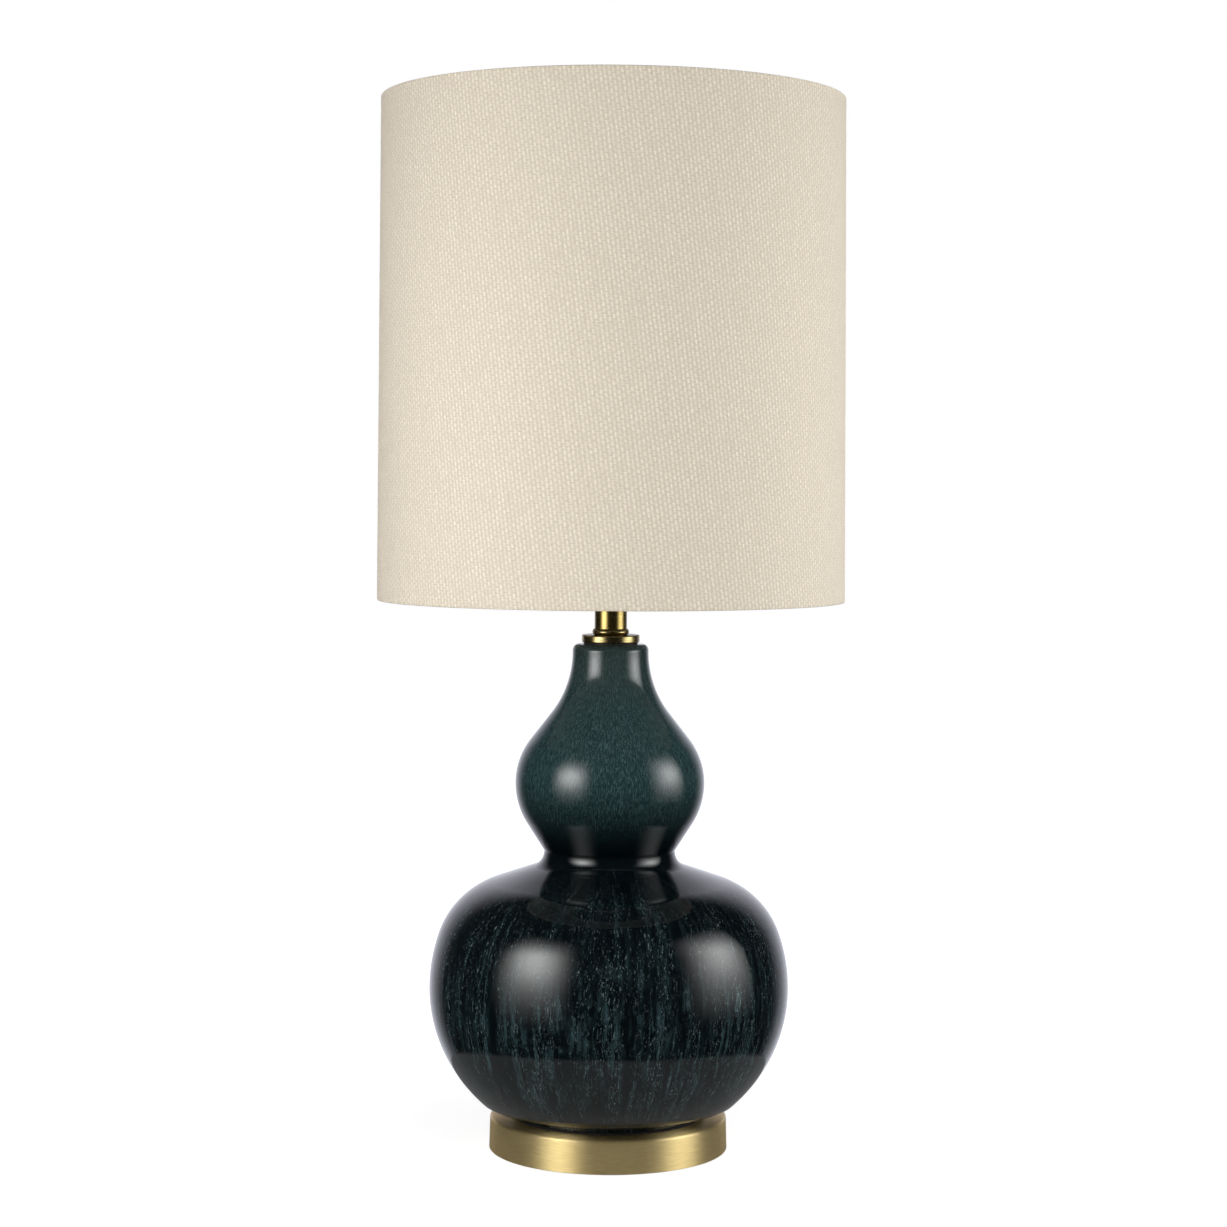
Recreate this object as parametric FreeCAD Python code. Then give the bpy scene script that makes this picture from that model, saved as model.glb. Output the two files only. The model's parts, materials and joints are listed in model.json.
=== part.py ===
import FreeCAD, Part
import math
import os

# Double gourd table lamp: a glazed ceramic body on a brass plinth, with a harp, a turn-knob socket,
# a bulb and a drum shade. Millimetres, +Z up. The origin is the centre of the lamp's underside.
# -Y is the front. The harp lies in the XZ plane, the switch faces the front, the cord inlet the rear.

# ---- Driving dimensions -------------------------------------------------------------------------

# Running and seating clearances
running_fit = 0.05            # radial, where one piece turns or slides in another
slip_fit = 0.1                # radial, where one piece drops into another
rod_fit = 0.2                 # radial, between the threaded rod and the plain holes it passes

# Plinth, its felt and its fixings
plinth_r = 78.2               # at the rim, on the table
plinth_draft = 0.6            # how much smaller the radius is at the top
plinth_height = 22.0          # from the table to the plinth's flat top
plinth_top_wall = 2.5
plinth_side_wall = 3.0
plinth_rim_wall = 2.2
plinth_edge_r = 1.8
felt_thickness = 2.0
felt_proud = 0.6              # how far the felt stands below the plinth's rim
board_thickness = 2.4
base_washer_r = 19.0
base_washer_thickness = 1.6
lock_washer_r = 8.0
lock_washer_thickness = 1.4
lock_washer_gap = 1.5
base_nut_flats = 14.0
base_nut_height = 4.0

# Cord inlet bushing in the plinth's rear wall
inlet_bore_r = 3.4
inlet_wall = 1.6
inlet_flange_r = 7.2
inlet_flange_proud = 1.4      # beyond the plinth's rim
inlet_depth = 8.0
inlet_height = 11.0

# Ceramic body: radii and the rises from one level to the next
foot_gasket_thickness = 1.5
foot_r = 63.0
foot_width = 7.0
foot_height = 7.0
belly_r = 117.8
belly_rise = 82.7             # from the foot to the widest level of the belly
belly_lower_rise = 105.6      # half height of the ellipse that the belly's underside follows
belly_side_r = 108.0
belly_side_angle = 19.6       # degrees of the large arc above the widest level
shoulder_r = 55.5
waist_r = 42.9
waist_rise = 89.9             # from the belly's widest level to the waist
waist_lower_r = 11.0
waist_upper_r = 2.0
upper_r = 61.9
upper_rise = 44.7             # from the waist to the upper bulb's widest level
upper_lower_r = 49.1
upper_upper_r = 46.6
neck_r = 24.8
neck_rise = 86.15             # from the upper bulb's widest level to the straight of the neck
neck_hollow_r = 65.5
neck_straight = 5.05
body_wall = 5.5
body_base_wall = 6.0
body_top_wall = 8.0
body_mouth_r = 11.0
body_rod_hole_r = 8.0
body_edge_r = 4.0
foot_edge_r = 5.0

# Brass stack on the neck
cap_gasket_thickness = 1.0
cap_gasket_r = 17.6
cap_r = 18.9
cap_thickness = 5.0
cap_edge_r = 0.9
cap_spigot_depth = 4.0
ring_r = 12.0
ring_height = 4.0
tube_r = 10.6
tube_wall = 1.0
tube_length = 22.8
tube_washer_thickness = 1.2

# Threaded rod
rod_r = 4.85
rod_bore_r = 3.2
rod_below_nut = 1.0

# Harp saddle, harp and locking sleeves
saddle_thickness = 2.0
saddle_width = 14.0
saddle_flat = 15.0            # half length of the strip's flat middle
saddle_rise = 9.0
saddle_slope_run = 11.0
saddle_pad = 9.5              # length of each raised end
saddle_nut_flats = 13.0
saddle_nut_height = 3.5
harp_height = 304.8           # from the saddle's underside to the shade's seat
harp_leg_x = 31.75
harp_side_x = 57.0
harp_wire_r = 1.8
harp_leg_straight = 30.0
harp_bend_r = 45.0
harp_top_r = 50.0
harp_prong_r = 1.6
harp_prong_height = 10.0
harp_ferrule_r = 3.2
harp_ferrule_height = 12.0
sleeve_wall = 1.0
sleeve_height = 14.0
harp_eye_r = 7.5
harp_eye_thickness = 4.0         # a little more than the wire, so that the plate turns clear of it
stud_shank_r = 2.1
stud_rivet_r = 3.6
stud_rivet_height = 1.0
stud_plate_r = 8.0
stud_plate_thickness = 1.5
stud_r = 3.1
stud_height = 14.0

# Socket
socket_cap_boss_r = 8.0
socket_cap_boss_height = 6.5
socket_cap_flare_height = 10.0
socket_cap_rim_height = 7.0
socket_cap_wall = 0.8
socket_shell_r = 16.3
socket_shell_wall = 0.5
socket_shell_height = 46.0
socket_liner_wall = 0.8
socket_liner_short = 2.0      # how far the liner stops below the shell's top
core_height = 17.0
screw_shell_wall = 0.45
screw_shell_height = 25.0
screw_shell_hole_r = 6.0
contact_stem_r = 2.0
contact_stem_height = 2.4
contact_pad_r = 3.2
contact_pad_height = 0.6
terminal_head_r = 3.5
terminal_head_height = 1.9
terminal_shank_r = 1.6
terminal_shank_length = 4.0
set_screw_r = 1.8
set_screw_length = 5.0
switch_height = 9.0           # from the core's underside to the switch's axis
switch_slot_r = 4.5
switch_shaft_r = 2.0
switch_shaft_depth = 4.0      # how deep the shaft sits in the core
switch_gap = 2.2              # between the shell and the knob
knob_r = 6.4
knob_length = 13.5
knob_flat = 5.6               # thickness across the knob's two grip flats
knob_collar_length = 3.5

# Bulb
bulb_button_r = 4.6
bulb_button_height = 1.6
bulb_glass_ring_height = 4.0
bulb_glass_ring_low_r = 5.5
bulb_glass_ring_high_r = 9.5
bulb_cap_r = 13.1
bulb_cap_taper = 2.5
bulb_cap_height = 22.4
bulb_cap_wall = 0.4
bulb_neck_r = 12.6
bulb_neck_straight = 3.0
bulb_neck_hollow_r = 28.0
bulb_r = 30.0
bulb_length = 109.0
bulb_wall = 0.9

# Shade
shade_bottom_r = 152.4
shade_taper = 2.2             # how much smaller the upper rim's radius is
shade_height = 324.5
shade_drop = 12.7             # from the upper rim down to the spider's hub
fabric_thickness = 0.8
liner_thickness = 0.5
shade_wire_r = 1.6
hem_height = 11.0
hem_room = 0.3                # between a wire ring and the cloth and lining round it
spider_arms = 3
spider_bend_in = 20.0         # how far in from the ring each arm starts to rise
spider_bend_r = 12.0
hub_r = 12.5
hub_thickness = 1.4
hub_bore_r = 5.6
arm_inner_r = 9.5
arm_weld = 0.5                # how far an arm is sunk into the hub and the ring
arm_slot = 0.4                # room round an arm where it passes through the hem

# Finial
finial_base_r = 6.5
finial_base_height = 6.0
finial_waist_r = 4.6
finial_knob_r = 8.0
finial_knob_rise = 7.0        # from the knob's foot to its widest level
finial_bore_spare = 0.6       # room above the stud inside the knob

# ---- Levels and radii that follow ---------------------------------------------------------------

plinth_rim_z = felt_proud
plinth_top_r = plinth_r - plinth_draft
board_z = felt_thickness
ledge_z = board_z + board_thickness
plinth_ceiling_z = plinth_height - plinth_top_wall
base_washer_z = plinth_ceiling_z - base_washer_thickness
lock_washer_z = base_washer_z - lock_washer_thickness
base_nut_z = lock_washer_z - base_nut_height
rod_bottom_z = base_nut_z - rod_below_nut
rod_hole_r = rod_r + rod_fit

foot_z = plinth_height + foot_gasket_thickness
underside_z = foot_z + foot_height
belly_z = foot_z + belly_rise
waist_z = belly_z + waist_rise
upper_z = waist_z + upper_rise
neck_z = upper_z + neck_rise
body_top_z = neck_z + neck_straight

cap_z = body_top_z + cap_gasket_thickness
ring_z = cap_z + cap_thickness
tube_z = ring_z + ring_height
tube_washer_z = tube_z + tube_length
saddle_z = tube_washer_z + tube_washer_thickness
saddle_top_z = saddle_z + saddle_thickness
saddle_pad_z = saddle_top_z + saddle_rise
socket_z = saddle_top_z + saddle_nut_height

boss_top_z = socket_z + socket_cap_boss_height
cap_rim_z = boss_top_z + socket_cap_flare_height
cap_inner_r = socket_shell_r + slip_fit
cap_outer_r = cap_inner_r + socket_cap_wall
shell_z = cap_rim_z
shell_inner_r = socket_shell_r - socket_shell_wall
liner_outer_r = shell_inner_r - slip_fit
liner_inner_r = liner_outer_r - socket_liner_wall
core_r = liner_inner_r - slip_fit
core_top_z = shell_z + core_height
switch_z = shell_z + switch_height
screw_shell_inner_r = bulb_cap_r + slip_fit
screw_shell_outer_r = screw_shell_inner_r + screw_shell_wall
contact_top_z = core_top_z + contact_stem_height + contact_pad_height
knob_y = -(socket_shell_r + switch_gap)

bulb_ring_z = contact_top_z + bulb_button_height
bulb_cap_z = bulb_ring_z + bulb_glass_ring_height
bulb_cap_top_z = bulb_cap_z + bulb_cap_height
bulb_centre_z = contact_top_z + bulb_length - bulb_r

hub_z = saddle_z + harp_height
eye_top_z = hub_z - stud_plate_thickness
eye_z = eye_top_z - harp_eye_thickness
harp_crown_z = (eye_z + eye_top_z) / 2
sleeve_inner_r = harp_ferrule_r + slip_fit
sleeve_outer_r = sleeve_inner_r + sleeve_wall

hub_top_z = hub_z + hub_thickness
shade_top_z = hub_top_z + shade_drop
shade_bottom_z = shade_top_z - shade_height
hem_wrap_r = shade_wire_r + hem_room + fabric_thickness
arm_z = hub_top_z + shade_wire_r - arm_weld

finial_z = hub_top_z
finial_knob_z = finial_z + finial_base_height
finial_bore_r = stud_r + running_fit
stud_top_z = hub_z + stud_height


# ---- Shared shapes ------------------------------------------------------------------------------

AXIS = FreeCAD.Vector(0, 0, 1)
ORIGIN = FreeCAD.Vector(0, 0, 0)


def at(r, z):
    """A point of an outline, in the XZ plane."""
    return FreeCAD.Vector(r, 0, z)


def disc(r, low, high):
    return Part.makeCylinder(r, high - low, FreeCAD.Vector(0, 0, low))


def ring(outer, inner, low, high):
    return disc(outer, low, high).cut(disc(inner, low - 1, high + 1))


def rod_along(direction, start, r, length):
    return Part.makeCylinder(r, length, start, direction)


def line(a, b):
    return Part.LineSegment(a, b).toShape()


def arc(centre, r, start, end):
    """An arc of an outline about a centre, between two angles in radians."""
    angles = (start, (start + end) / 2, end)
    points = [centre + at(r * math.cos(a), r * math.sin(a)) for a in angles]
    return Part.Arc(*points).toShape()


def turn(edges):
    """The solid that a closed outline, given as its edges in order, makes about the Z axis."""
    face = Part.Face(Part.Wire(edges))
    solid = face.revolve(ORIGIN, AXIS, 360)
    return solid if solid.Volume > 0 else solid.reversed()


def turn_points(points):
    corners = [at(r, z) for r, z in points]
    return turn([line(a, b) for a, b in zip(corners, corners[1:] + corners[:1])])


def rounded(shape, r, z, edge_r):
    """Rounds the circular edge that lies at height z with radius edge_r."""
    chosen = []
    for edge in shape.Edges:
        curve = edge.Curve
        if not isinstance(curve, Part.Circle):
            continue
        if abs(curve.Radius - edge_r) < 0.01 and abs(curve.Center.z - z) < 0.01:
            chosen.append(edge)
    return shape.makeFillet(r, chosen)


def swept(path_edges, r):
    """A round wire of radius r along edges that run smoothly into each other."""
    path = Part.Wire(path_edges)
    first = path_edges[0]
    start = first.valueAt(first.FirstParameter)
    along = first.tangentAt(first.FirstParameter)
    section = Part.Wire(Part.makeCircle(r, start, along))
    return path.makePipeShell([section], True, False)


def hexagon(flats, low, high):
    corner_r = flats / math.sqrt(3)
    points = [
        FreeCAD.Vector(corner_r * math.cos(math.radians(a)), corner_r * math.sin(math.radians(a)), low)
        for a in range(0, 361, 60)
    ]
    return Part.Face(Part.makePolygon(points)).extrude(FreeCAD.Vector(0, 0, high - low))


def nut(flats, low, high):
    corners_r = flats / math.sqrt(3)
    trimmed = hexagon(flats, low, high).common(disc(corners_r * 0.98, low, high))
    return trimmed.cut(disc(rod_r + running_fit, low - 1, high + 1))


def crossing_tangent(centre_a, r_a, centre_b, r_b, side):
    """Angle, at centre_a, of the line that touches both circles and crosses between them."""
    gap = centre_b - centre_a
    distance = math.hypot(gap.x, gap.z)
    return math.atan2(gap.z, gap.x) + side * math.acos((r_a + r_b) / distance)


def touch(centre, r, angle):
    return centre + at(r * math.cos(angle), r * math.sin(angle))


def fitted_radii(bulge, hollow, step_r, step_z):
    """A bulge's and a hollow's radii, shortened alike where the step between them is small."""
    room = 0.98 * (step_r**2 + step_z**2) / (2 * step_r)
    share = min(1.0, room / (bulge + hollow))
    return bulge * share, hollow * share


# ---- Plinth -------------------------------------------------------------------------------------

def plinth_outside():
    foot = FreeCAD.Vector(0, 0, plinth_rim_z)
    outside = Part.makeCone(plinth_r, plinth_top_r, plinth_height - plinth_rim_z, foot)
    return rounded(outside, plinth_edge_r, plinth_height, plinth_top_r)


def base_plinth():
    hollow_r = plinth_r - plinth_side_wall
    rim_r = plinth_r - plinth_rim_wall
    shell = plinth_outside().cut(disc(hollow_r, 0, plinth_ceiling_z))
    shell = shell.cut(disc(rim_r, 0, ledge_z))
    shell = shell.cut(disc(rod_hole_r, 0, plinth_height + 1))
    return shell.cut(rear_cylinder(inlet_bore_r + inlet_wall + slip_fit, 0, plinth_r + 1))


def rear_cylinder(r, near, far):
    """A cylinder on the cord inlet's axis, from y = near to y = far."""
    return rod_along(FreeCAD.Vector(0, 1, 0), FreeCAD.Vector(0, near, inlet_height), r, far - near)


def bottom_board():
    return disc(plinth_r - plinth_rim_wall - slip_fit, board_z, ledge_z)


def base_felt():
    return disc(plinth_r - plinth_rim_wall - 2 * slip_fit, 0, felt_thickness)


def base_washer():
    return ring(base_washer_r, rod_hole_r, base_washer_z, plinth_ceiling_z)


def base_lock_washer():
    washer = ring(lock_washer_r, rod_hole_r, lock_washer_z, base_washer_z)
    gap = Part.makeBox(
        lock_washer_r + 1,
        lock_washer_gap,
        lock_washer_thickness + 2,
        FreeCAD.Vector(0, -lock_washer_gap / 2, lock_washer_z - 1),
    )
    return washer.cut(gap)


def base_nut():
    return nut(base_nut_flats, base_nut_z, lock_washer_z)


def cord_bushing():
    """A flanged bushing: the flange beds on the curved wall, the barrel passes through it."""
    outer_y = plinth_r + inlet_flange_proud
    inner_y = plinth_r - inlet_depth
    flange = rear_cylinder(inlet_flange_r, plinth_top_r - 2, outer_y).cut(plinth_outside())
    barrel = rear_cylinder(inlet_bore_r + inlet_wall, inner_y, outer_y)
    return flange.fuse(barrel).cut(rear_cylinder(inlet_bore_r, inner_y - 1, outer_y + 1))


# ---- Ceramic body -------------------------------------------------------------------------------

def gourd_outline(wall):
    """The gourd's outline from its underside to its top, set in from the glaze by a wall."""
    upper_bulge, neck_hollow = fitted_radii(
        upper_upper_r, neck_hollow_r, upper_r - neck_r, neck_rise
    )
    lower_bulge, waist_top = fitted_radii(
        upper_lower_r, waist_upper_r, upper_r - waist_r, upper_rise
    )
    side_angle = math.radians(belly_side_angle)
    side_centre = at(belly_r - belly_side_r, belly_z)
    shoulder, waist_low = shoulder_radii(side_centre, side_angle)
    shoulder_centre = side_centre + at(
        (belly_side_r - shoulder) * math.cos(side_angle),
        (belly_side_r - shoulder) * math.sin(side_angle),
    )
    waist_low_centre = at(waist_r + waist_low, waist_z)
    waist_top_centre = at(waist_r + waist_top, waist_z)
    lower_centre = at(upper_r - lower_bulge, upper_z)
    upper_centre = at(upper_r - upper_bulge, upper_z)
    neck_centre = at(neck_r + neck_hollow, neck_z)

    slope = crossing_tangent(shoulder_centre, shoulder, waist_low_centre, waist_low, -1)
    lower_ogee = crossing_tangent(lower_centre, lower_bulge, waist_top_centre, waist_top, 1)
    upper_ogee = crossing_tangent(upper_centre, upper_bulge, neck_centre, neck_hollow, -1)

    half_turn = math.pi
    edges = [belly_underside(wall)]
    edges.append(arc(side_centre, belly_side_r - wall, 0, side_angle))
    edges.append(arc(shoulder_centre, shoulder - wall, side_angle, slope))
    edges.append(line(
        touch(shoulder_centre, shoulder - wall, slope),
        touch(waist_low_centre, -(waist_low + wall), slope),
    ))
    edges.append(arc(waist_low_centre, waist_low + wall, slope + half_turn, half_turn))
    edges.append(arc(waist_top_centre, waist_top + wall, half_turn, lower_ogee + half_turn))
    edges.append(line(
        touch(waist_top_centre, -(waist_top + wall), lower_ogee),
        touch(lower_centre, lower_bulge - wall, lower_ogee),
    ))
    edges.append(arc(lower_centre, lower_bulge - wall, lower_ogee, 0))
    edges.append(arc(upper_centre, upper_bulge - wall, 0, upper_ogee))
    edges.append(line(
        touch(upper_centre, upper_bulge - wall, upper_ogee),
        touch(neck_centre, -(neck_hollow + wall), upper_ogee),
    ))
    edges.append(arc(neck_centre, neck_hollow + wall, upper_ogee + half_turn, half_turn))
    edges.append(line(at(neck_r - wall, neck_z), at(neck_r - wall, body_top_z)))
    return edges


def shoulder_radii(side_centre, side_angle):
    """The shoulder's and the waist fillet's radii, shortened where the rise to the waist is small."""
    shoulder = shoulder_r
    fillet = waist_lower_r
    while True:
        step = belly_side_r - shoulder
        centre = side_centre + at(step * math.cos(side_angle), step * math.sin(side_angle))
        gap = at(waist_r + fillet, waist_z) - centre
        if gap.Length > 1.02 * (shoulder + fillet):
            return shoulder, fillet
        shoulder *= 0.97
        fillet *= 0.97


def belly_underside(wall):
    """The quarter of an ellipse below the belly's widest level, down to the underside."""
    across = belly_r - wall
    down = belly_lower_rise - wall
    sine = (belly_z - underside_z) / down
    start_r = across * math.sqrt(1 - sine**2)
    sine_mid = sine / 2
    middle = at(across * math.sqrt(1 - sine_mid**2), belly_z - down * sine_mid)
    oval = Part.Ellipse(at(across, belly_z), at(0, belly_z - down), at(0, belly_z))
    if down > across:
        oval = Part.Ellipse(at(0, belly_z - down), at(across, belly_z), at(0, belly_z))
    ends = [oval.parameter(p) for p in (at(start_r, underside_z), middle, at(across, belly_z))]
    low, high = sorted((ends[0], ends[2]))
    if not low < ends[1] < high:
        low, high = high, low + 2 * math.pi
    return Part.ArcOfEllipse(oval, low, high).toShape()


def gourd_solid(wall):
    edges = gourd_outline(wall)
    foot = edges[0].Vertexes
    start = min((v.Point for v in foot), key=lambda p: p.z)
    top_r = neck_r - wall
    closing = [
        line(at(top_r, body_top_z), at(0, body_top_z)),
        line(at(0, body_top_z), at(0, start.z)),
        line(at(0, start.z), start),
    ]
    return turn(Part.sortEdges(edges + closing)[0]), start.x


def gourd_body():
    outside, edge_r = gourd_solid(0)
    outside = rounded(outside, foot_edge_r, underside_z, edge_r)
    outside = rounded(outside, body_edge_r, body_top_z, neck_r)
    inside, _ = gourd_solid(body_wall)
    cavity = inside.common(disc(belly_r, underside_z + body_base_wall, body_top_z - body_top_wall))
    foot = ring(foot_r, foot_r - foot_width, foot_z, underside_z + 1)
    body = outside.cut(cavity).fuse(foot)
    body = body.cut(disc(body_rod_hole_r, foot_z, underside_z + body_base_wall + 1))
    return body.cut(disc(body_mouth_r, body_top_z - body_top_wall - 1, body_top_z + 1))


def foot_gasket():
    return ring(foot_r - 0.5, foot_r - foot_width + 0.5, plinth_height, foot_z)


# ---- Brass stack and rod ------------------------------------------------------------------------

def cap_gasket():
    return ring(cap_gasket_r, body_mouth_r + slip_fit, body_top_z, cap_z)


def vase_cap():
    plate = disc(cap_r, cap_z, ring_z)
    plate = rounded(plate, cap_edge_r, ring_z, cap_r)
    plate = rounded(plate, cap_edge_r, cap_z, cap_r)
    spigot = disc(body_mouth_r - 2 * slip_fit, cap_z - cap_spigot_depth, cap_z)
    return plate.fuse(spigot).cut(disc(rod_hole_r, cap_z - cap_spigot_depth - 1, ring_z + 1))


def check_ring():
    """A bead with a half-round edge."""
    half = ring_height / 2
    middle = at(ring_r - half, ring_z + half)
    edges = [
        line(at(rod_hole_r, ring_z), at(middle.x, ring_z)),
        arc(middle, half, -math.pi / 2, math.pi / 2),
        line(at(middle.x, tube_z), at(rod_hole_r, tube_z)),
        line(at(rod_hole_r, tube_z), at(rod_hole_r, ring_z)),
    ]
    return turn(edges)


def neck_tube():
    return ring(tube_r, tube_r - tube_wall, tube_z, tube_washer_z)


def neck_washer():
    return ring(tube_r, rod_hole_r, tube_washer_z, saddle_z)


def threaded_rod():
    return ring(rod_r, rod_bore_r, rod_bottom_z, boss_top_z)


# ---- Harp ---------------------------------------------------------------------------------------

def harp_saddle():
    """A strip bent up at both ends, each end with a prong that the harp's leg drops over."""
    slope_end = saddle_flat + saddle_slope_run
    angle = math.atan2(saddle_rise, saddle_slope_run)
    shift = saddle_thickness * math.tan(angle / 2)
    tip = slope_end + saddle_pad
    low = [(saddle_flat, 0), (slope_end, saddle_rise), (tip, saddle_rise)]
    high = [(saddle_flat - shift, 0), (slope_end - shift, saddle_rise), (tip, saddle_rise)]
    outline = [(x, saddle_z + z) for x, z in low]
    outline += [(x, saddle_top_z + z) for x, z in reversed(high)]
    outline += [(-x, saddle_top_z + z) for x, z in high]
    outline += [(-x, saddle_z + z) for x, z in reversed(low)]
    points = [FreeCAD.Vector(x, -saddle_width / 2, z) for x, z in outline]
    face = Part.Face(Part.makePolygon(points + points[:1]))
    strip = face.extrude(FreeCAD.Vector(0, saddle_width, 0))
    strip = strip.common(disc(tip, saddle_z - 1, saddle_pad_z + 1))
    strip = strip.cut(disc(rod_hole_r, saddle_z - 1, saddle_top_z + 1))
    for side in (-1, 1):
        foot = FreeCAD.Vector(side * harp_leg_x, 0, saddle_pad_z - saddle_thickness / 2)
        prong = rod_along(AXIS, foot, harp_prong_r, harp_prong_height + saddle_thickness / 2)
        strip = strip.fuse(prong)
    return strip.removeSplitter()


def saddle_nut():
    return nut(saddle_nut_flats, saddle_top_z, socket_z)


def harp_half():
    """One side of the harp's wire, from its leg to the eye at the crown."""
    leg_z = saddle_pad_z + harp_ferrule_height
    bend_z = leg_z + harp_leg_straight
    spread = harp_side_x - harp_leg_x
    turned = math.acos(1 - spread / (2 * harp_bend_r))
    side_z = bend_z + 2 * harp_bend_r * math.sin(turned)
    crown_start_z = harp_crown_z - harp_top_r
    outer = at(harp_leg_x + harp_bend_r, bend_z)
    inner = at(harp_side_x - harp_bend_r, side_z)
    crown = at(harp_side_x - harp_top_r, crown_start_z)
    edges = [
        line(at(harp_leg_x, leg_z - harp_wire_r), at(harp_leg_x, bend_z)),
        arc(outer, harp_bend_r, math.pi, math.pi - turned),
        arc(inner, harp_bend_r, -turned, 0),
        line(at(harp_side_x, side_z), at(harp_side_x, crown_start_z)),
        arc(crown, harp_top_r, 0, math.pi / 2),
        line(at(crown.x, harp_crown_z), at(harp_eye_r / 2 + stud_shank_r / 2, harp_crown_z)),
    ]
    wire = swept(edges, harp_wire_r)
    ferrule = disc(harp_ferrule_r, saddle_pad_z, leg_z)
    ferrule = ferrule.cut(disc(harp_prong_r + slip_fit, saddle_pad_z - 1, leg_z - harp_wire_r))
    ferrule.translate(FreeCAD.Vector(harp_leg_x, 0, 0))
    return wire.fuse(ferrule)


def harp_bow():
    right = harp_half()
    left = right.mirror(ORIGIN, FreeCAD.Vector(1, 0, 0))
    eye = disc(harp_eye_r, eye_z, eye_top_z)
    bow = eye.fuse([right, left])
    return bow.cut(disc(stud_shank_r + running_fit, eye_z - 1, eye_top_z + 1)).removeSplitter()


def harp_sleeve(side):
    sleeve = ring(sleeve_outer_r, sleeve_inner_r, saddle_pad_z, saddle_pad_z + sleeve_height)
    sleeve.translate(FreeCAD.Vector(side * harp_leg_x, 0, 0))
    return sleeve


def harp_stud():
    """The finial's stud and its plate, riveted through the eye so that they turn in it."""
    plate = disc(stud_plate_r, eye_top_z, hub_z)
    stud = disc(stud_r, hub_z, stud_top_z)
    shank = disc(stud_shank_r, eye_z, eye_top_z)
    rivet = disc(stud_rivet_r, eye_z - stud_rivet_height, eye_z)
    return plate.fuse([stud, shank, rivet])


# ---- Socket -------------------------------------------------------------------------------------

def socket_cap():
    """A drawn cup that screws onto the rod by its boss and holds the shell in its rim."""
    rim_top = cap_rim_z + socket_cap_rim_height
    wall = socket_cap_wall
    outside = turn_points([
        (0, socket_z),
        (socket_cap_boss_r, socket_z),
        (socket_cap_boss_r, boss_top_z),
        (cap_outer_r, cap_rim_z),
        (cap_outer_r, rim_top),
        (0, rim_top),
    ])
    inside = turn_points([
        (0, boss_top_z),
        (socket_cap_boss_r - wall, boss_top_z),
        (cap_inner_r - wall, cap_rim_z),
        (cap_inner_r, cap_rim_z),
        (cap_inner_r, rim_top + 1),
        (0, rim_top + 1),
    ])
    cup = outside.cut(inside).cut(disc(rod_r + running_fit, socket_z - 1, boss_top_z + 1))
    hole_start = FreeCAD.Vector(0, 0, (socket_z + boss_top_z) / 2)
    hole = rod_along(FreeCAD.Vector(0, 1, 0), hole_start, set_screw_r + running_fit, 2 * socket_cap_boss_r)
    return cup.cut(hole)


def socket_set_screw():
    start = FreeCAD.Vector(0, rod_r + running_fit, (socket_z + boss_top_z) / 2)
    return rod_along(FreeCAD.Vector(0, 1, 0), start, set_screw_r, set_screw_length)


def switch_slot():
    """The slot that lets the shell and its liner drop over the switch's shaft."""
    reach = socket_shell_r + 2
    axis_start = FreeCAD.Vector(0, -reach, switch_z)
    hole = rod_along(FreeCAD.Vector(0, 1, 0), axis_start, switch_slot_r, reach)
    below = Part.makeBox(
        2 * switch_slot_r,
        reach,
        switch_height + 2,
        FreeCAD.Vector(-switch_slot_r, -reach, shell_z - 2),
    )
    return hole.fuse(below)


def socket_shell():
    shell = ring(socket_shell_r, shell_inner_r, shell_z, shell_z + socket_shell_height)
    return shell.cut(switch_slot())


def socket_liner():
    top = shell_z + socket_shell_height - socket_liner_short
    return ring(liner_outer_r, liner_inner_r, shell_z, top).cut(switch_slot())


def socket_core():
    core = disc(core_r, shell_z, core_top_z)
    for side in (-1, 1):
        direction = FreeCAD.Vector(side, 0, 0)
        head_x = core_r - terminal_head_height
        pocket = FreeCAD.Vector(side * (head_x - 1), 0, switch_z)
        core = core.cut(rod_along(direction, pocket, terminal_head_r + 0.5, core_r))
        bore_length = terminal_shank_length + running_fit
        bore = FreeCAD.Vector(side * (head_x - bore_length), 0, switch_z)
        core = core.cut(rod_along(direction, bore, terminal_shank_r + running_fit, bore_length))
    bore = FreeCAD.Vector(0, -core_r - 1, switch_z)
    depth = switch_shaft_depth + 1
    return core.cut(rod_along(FreeCAD.Vector(0, 1, 0), bore, switch_shaft_r + running_fit, depth))


def terminal_screws():
    """The two wire terminals, one on each side of the core."""
    screws = []
    edge_r = math.sqrt(core_r**2 - terminal_head_r**2)
    for side in (-1, 1):
        direction = FreeCAD.Vector(side, 0, 0)
        head_x = edge_r - terminal_head_height
        head = FreeCAD.Vector(side * head_x, 0, switch_z)
        shank_x = core_r - terminal_head_height - terminal_shank_length
        shank = FreeCAD.Vector(side * shank_x, 0, switch_z)
        screw = rod_along(direction, head, terminal_head_r, terminal_head_height)
        screws.append(screw.fuse(rod_along(direction, shank, terminal_shank_r, head_x - shank_x)))
    return Part.makeCompound(screws)


def screw_shell():
    wall = ring(
        screw_shell_outer_r, screw_shell_inner_r, core_top_z, core_top_z + screw_shell_height
    )
    floor = ring(
        screw_shell_outer_r, screw_shell_hole_r, core_top_z, core_top_z + screw_shell_wall
    )
    return wall.fuse(floor)


def centre_contact():
    pad_z = core_top_z + contact_stem_height
    return disc(contact_stem_r, core_top_z, pad_z).fuse(disc(contact_pad_r, pad_z, contact_top_z))


def switch_shaft():
    start = FreeCAD.Vector(0, -core_r + switch_shaft_depth, switch_z)
    length = start.y - (knob_y - knob_length / 2)
    return rod_along(FreeCAD.Vector(0, -1, 0), start, switch_shaft_r, length)


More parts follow.
